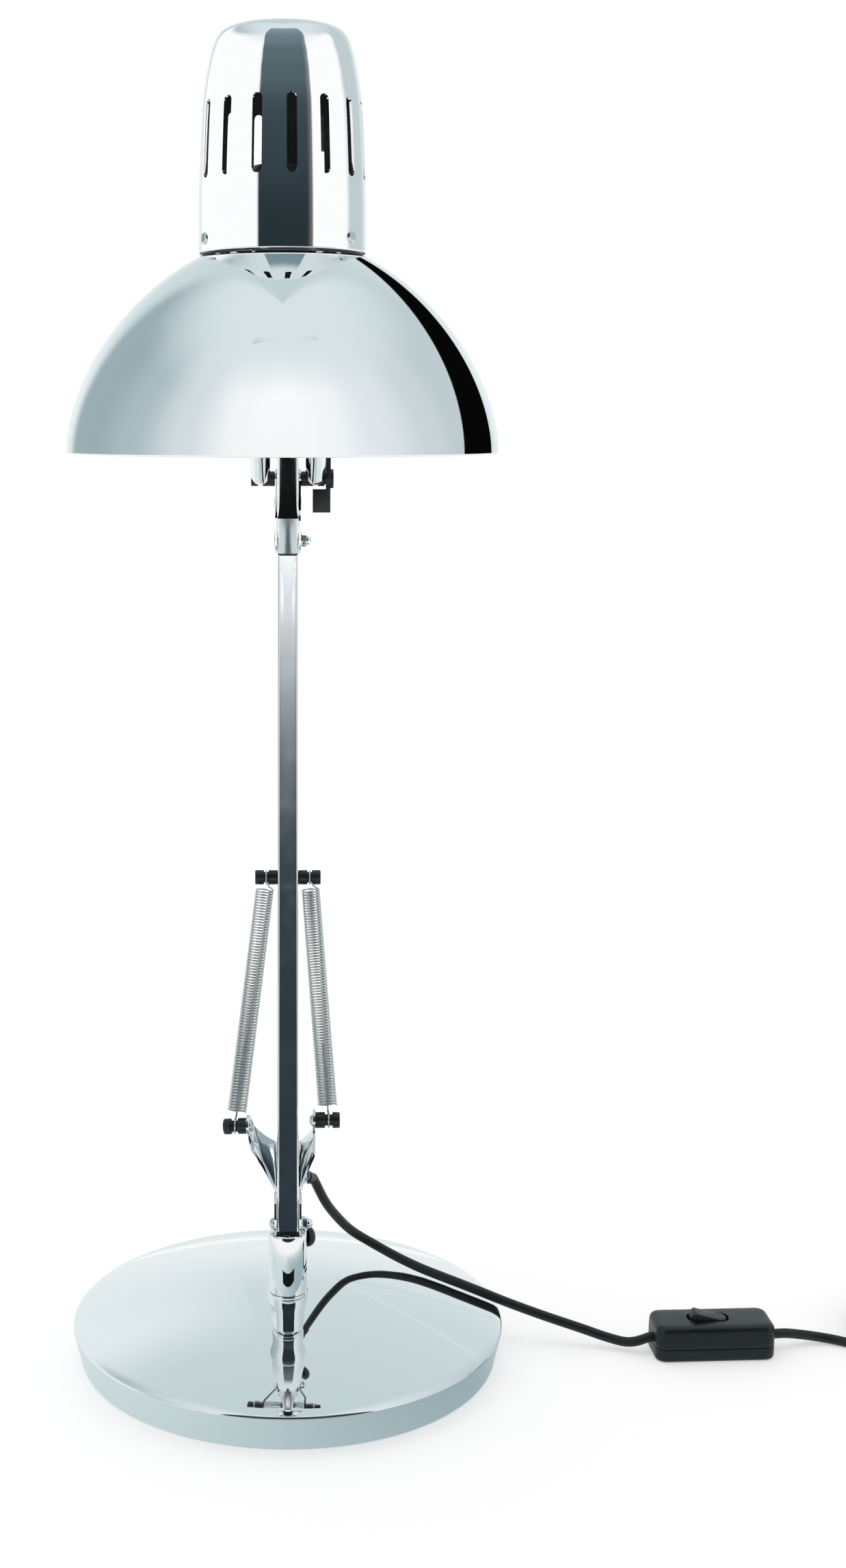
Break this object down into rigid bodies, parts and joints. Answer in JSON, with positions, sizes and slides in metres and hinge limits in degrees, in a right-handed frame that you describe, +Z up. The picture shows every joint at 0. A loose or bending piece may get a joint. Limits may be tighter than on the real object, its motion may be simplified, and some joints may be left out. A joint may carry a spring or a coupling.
{
  "type": "accordion desk lamp",
  "caption": "Desk lamp with a domed round base, parallelogram arms of square tube balanced by springs, and a round metal shade.",
  "frame": {"origin": "on the table under the centre of the base", "axes": "+Z up, the arms swing in the YZ plane and the head hangs toward -Y, +X to the right seen from the head's side"},
  "size_m": [0.4806, 0.313, 0.5704],
  "materials": {
    "polished_chrome": "polished",
    "spring_steel": "bright drawn wire and turned steel",
    "iron": "as cast",
    "pad_rubber": "matte",
    "black_plastic": "satin moulded",
    "black_cord": "soft matte sheath",
    "bulb_white": "frosted",
    "cap_aluminium": "rolled",
    "tie_wire": "coated wire"
  },
  "bodies": {
    "base": {"base_shell": "polished_chrome", "base_weight": "iron", "base_plate": "spring_steel", "base_pad": "pad_rubber", "stem_cup": "polished_chrome", "swivel_stud": "spring_steel", "stud_nut": "spring_steel", "cord_run": "black_cord", "cord_tail": "black_cord", "cord_coil": "black_cord", "coil_tie": "tie_wire", "switch_body": "black_plastic", "mains_plug": "black_plastic"},
    "turret": {"stem_barrel": "polished_chrome", "bracket_rivets": "spring_steel", "wing_plate_left": "polished_chrome", "wing_plate_right": "polished_chrome", "wing_pins": "black_plastic", "turret_bolts": "spring_steel", "turret_cap_nuts": "polished_chrome", "cord_grommet": "black_plastic"},
    "clamp_knob": {"clamp_knob": "black_plastic"},
    "lower_front": {"lower_front_tube": "polished_chrome", "lower_front_plugs": "black_plastic", "lower_arm_pins": "black_plastic"},
    "lower_rear": {"lower_rear_tube": "polished_chrome", "lower_rear_plugs": "black_plastic"},
    "spring_left": {"lower_spring_left": "spring_steel"},
    "spring_right": {"lower_spring_right": "spring_steel"},
    "hook_left": {"lower_hook_left": "spring_steel"},
    "hook_right": {"lower_hook_right": "spring_steel"},
    "elbow": {"elbow_plate_left": "polished_chrome", "elbow_plate_right": "polished_chrome", "elbow_rivets": "spring_steel", "elbow_bolt": "spring_steel", "elbow_cap_nut": "polished_chrome", "elbow_pins": "black_plastic", "pin_keeper": "black_plastic"},
    "upper_front": {"upper_front_tube": "polished_chrome", "upper_front_plugs": "black_plastic", "upper_arm_pins": "black_plastic"},
    "upper_rear": {"upper_rear_tube": "polished_chrome", "upper_rear_plugs": "black_plastic"},
    "sleeve_left": {"spring_sleeve_left": "polished_chrome"},
    "sleeve_right": {"spring_sleeve_right": "polished_chrome"},
    "rod_left": {"upper_hook_left": "spring_steel"},
    "rod_right": {"upper_hook_right": "spring_steel"},
    "head_bracket": {"head_plates": "polished_chrome", "head_bolts": "spring_steel", "head_cap_nuts": "polished_chrome"},
    "tilt_knob": {"tilt_knob": "black_plastic"},
    "head": {"tilt_lug": "polished_chrome", "lamp_housing": "polished_chrome", "housing_screws": "spring_steel", "shade": "polished_chrome", "shade_ring": "spring_steel", "lamp_holder": "black_plastic", "bulb_glass": "bulb_white", "bulb_cap": "cap_aluminium"},
    "rocker": {"switch_rocker": "black_plastic"}
  },
  "joints": [
    {"name": "base_swivel", "type": "hinge", "parent": "base", "child": "turret", "pos_m": [0, -0.043, 0.0484], "axis": [0, 0, 1], "range_deg": [-150, 150]},
    {"name": "clamp_screw", "type": "hinge", "parent": "turret", "child": "clamp_knob", "pos_m": [0, -0.043, 0.072], "axis": [0.8829, 0.4695, 0], "range_deg": [-180, 180]},
    {"name": "lower_arm", "type": "hinge", "parent": "turret", "child": "lower_front", "pos_m": [0, -0.043, 0.0797], "axis": [1, 0, 0], "range_deg": [-7, 56]},
    {"name": "lower_link", "type": "hinge", "parent": "turret", "child": "lower_rear", "pos_m": [0, -0.023, 0.0937], "axis": [1, 0, 0], "range_deg": [-7, 56]},
    {"name": "elbow_level", "type": "hinge", "parent": "lower_front", "child": "elbow", "pos_m": [0, 0.0854, 0.37499], "axis": [1, 0, 0], "range_deg": [-56, 7]},
    {"name": "upper_arm", "type": "hinge", "parent": "elbow", "child": "upper_front", "pos_m": [0, 0.062, 0.37399], "axis": [1, 0, 0], "range_deg": [-10, 40]},
    {"name": "upper_link", "type": "hinge", "parent": "elbow", "child": "upper_rear", "pos_m": [0, 0.076, 0.39099], "axis": [1, 0, 0], "range_deg": [-10, 40]},
    {"name": "head_level", "type": "hinge", "parent": "upper_front", "child": "head_bracket", "pos_m": [0, -0.06019, 0.52596], "axis": [1, 0, 0], "range_deg": [-40, 10]},
    {"name": "head_tilt", "type": "hinge", "parent": "head_bracket", "child": "head", "pos_m": [0, -0.0783, 0.53896], "axis": [1, 0, 0], "range_deg": [-60, 10]},
    {"name": "tilt_screw", "type": "hinge", "parent": "head_bracket", "child": "tilt_knob", "pos_m": [0, -0.0783, 0.53896], "axis": [1, 0, 0], "range_deg": [-180, 180]},
    {"name": "rocker_tip", "type": "hinge", "parent": "base", "child": "rocker", "pos_m": [0.196, -0.0041, 0.012], "axis": [-0.0523, 0.9986, 0], "range_deg": [-12, 0]},
    {"name": "hook_left_turn", "type": "hinge", "parent": "turret", "child": "hook_left", "pos_m": [-0.02336, -0.03583, 0.12222], "axis": [1, 0, 0], "range_deg": [-9.42, 75.28]},
    {"name": "hook_right_turn", "type": "hinge", "parent": "turret", "child": "hook_right", "pos_m": [0.018, -0.037, 0.1255], "axis": [1, 0, 0], "range_deg": [-9.67, 77.29]},
    {"name": "spring_left_turn", "type": "hinge", "parent": "lower_front", "child": "spring_left", "pos_m": [-0.01, 0.01909, 0.22249], "axis": [1, 0, 0], "range_deg": [-2.42, 19.28]},
    {"name": "spring_right_turn", "type": "hinge", "parent": "lower_front", "child": "spring_right", "pos_m": [0.01, 0.01909, 0.22249], "axis": [1, 0, 0], "range_deg": [-2.67, 21.29]},
    {"name": "sleeve_left_turn", "type": "hinge", "parent": "elbow", "child": "sleeve_left", "pos_m": [-0.0127, 0.054, 0.40299], "axis": [1, 0, 0], "range_deg": [-11.75, 46.97]},
    {"name": "rod_left_turn", "type": "hinge", "parent": "upper_front", "child": "rod_left", "pos_m": [-0.0127, -0.02259, 0.4792], "axis": [1, 0, 0], "range_deg": [-1.75, 6.97]},
    {"name": "sleeve_right_turn", "type": "hinge", "parent": "elbow", "child": "sleeve_right", "pos_m": [0.0127, 0.054, 0.40299], "axis": [1, 0, 0], "range_deg": [-11.75, 46.97]},
    {"name": "rod_right_turn", "type": "hinge", "parent": "upper_front", "child": "rod_right", "pos_m": [0.0127, -0.02259, 0.4792], "axis": [1, 0, 0], "range_deg": [-1.75, 6.97]}
  ],
  "couplings": [
    {"joint": "lower_link", "follows": "lower_arm", "ratio": 1},
    {"joint": "elbow_level", "follows": "lower_arm", "ratio": -1},
    {"joint": "upper_link", "follows": "upper_arm", "ratio": 1},
    {"joint": "head_level", "follows": "upper_arm", "ratio": -1},
    {"joint": "hook_left_turn", "follows": "lower_arm", "ratio": 1.344},
    {"joint": "hook_right_turn", "follows": "lower_arm", "ratio": 1.38},
    {"joint": "spring_left_turn", "follows": "lower_arm", "ratio": 0.344},
    {"joint": "spring_right_turn", "follows": "lower_arm", "ratio": 0.38},
    {"joint": "sleeve_left_turn", "follows": "upper_arm", "ratio": 1.174},
    {"joint": "rod_left_turn", "follows": "upper_arm", "ratio": 0.174},
    {"joint": "sleeve_right_turn", "follows": "upper_arm", "ratio": 1.174},
    {"joint": "rod_right_turn", "follows": "upper_arm", "ratio": 0.174}
  ]
}
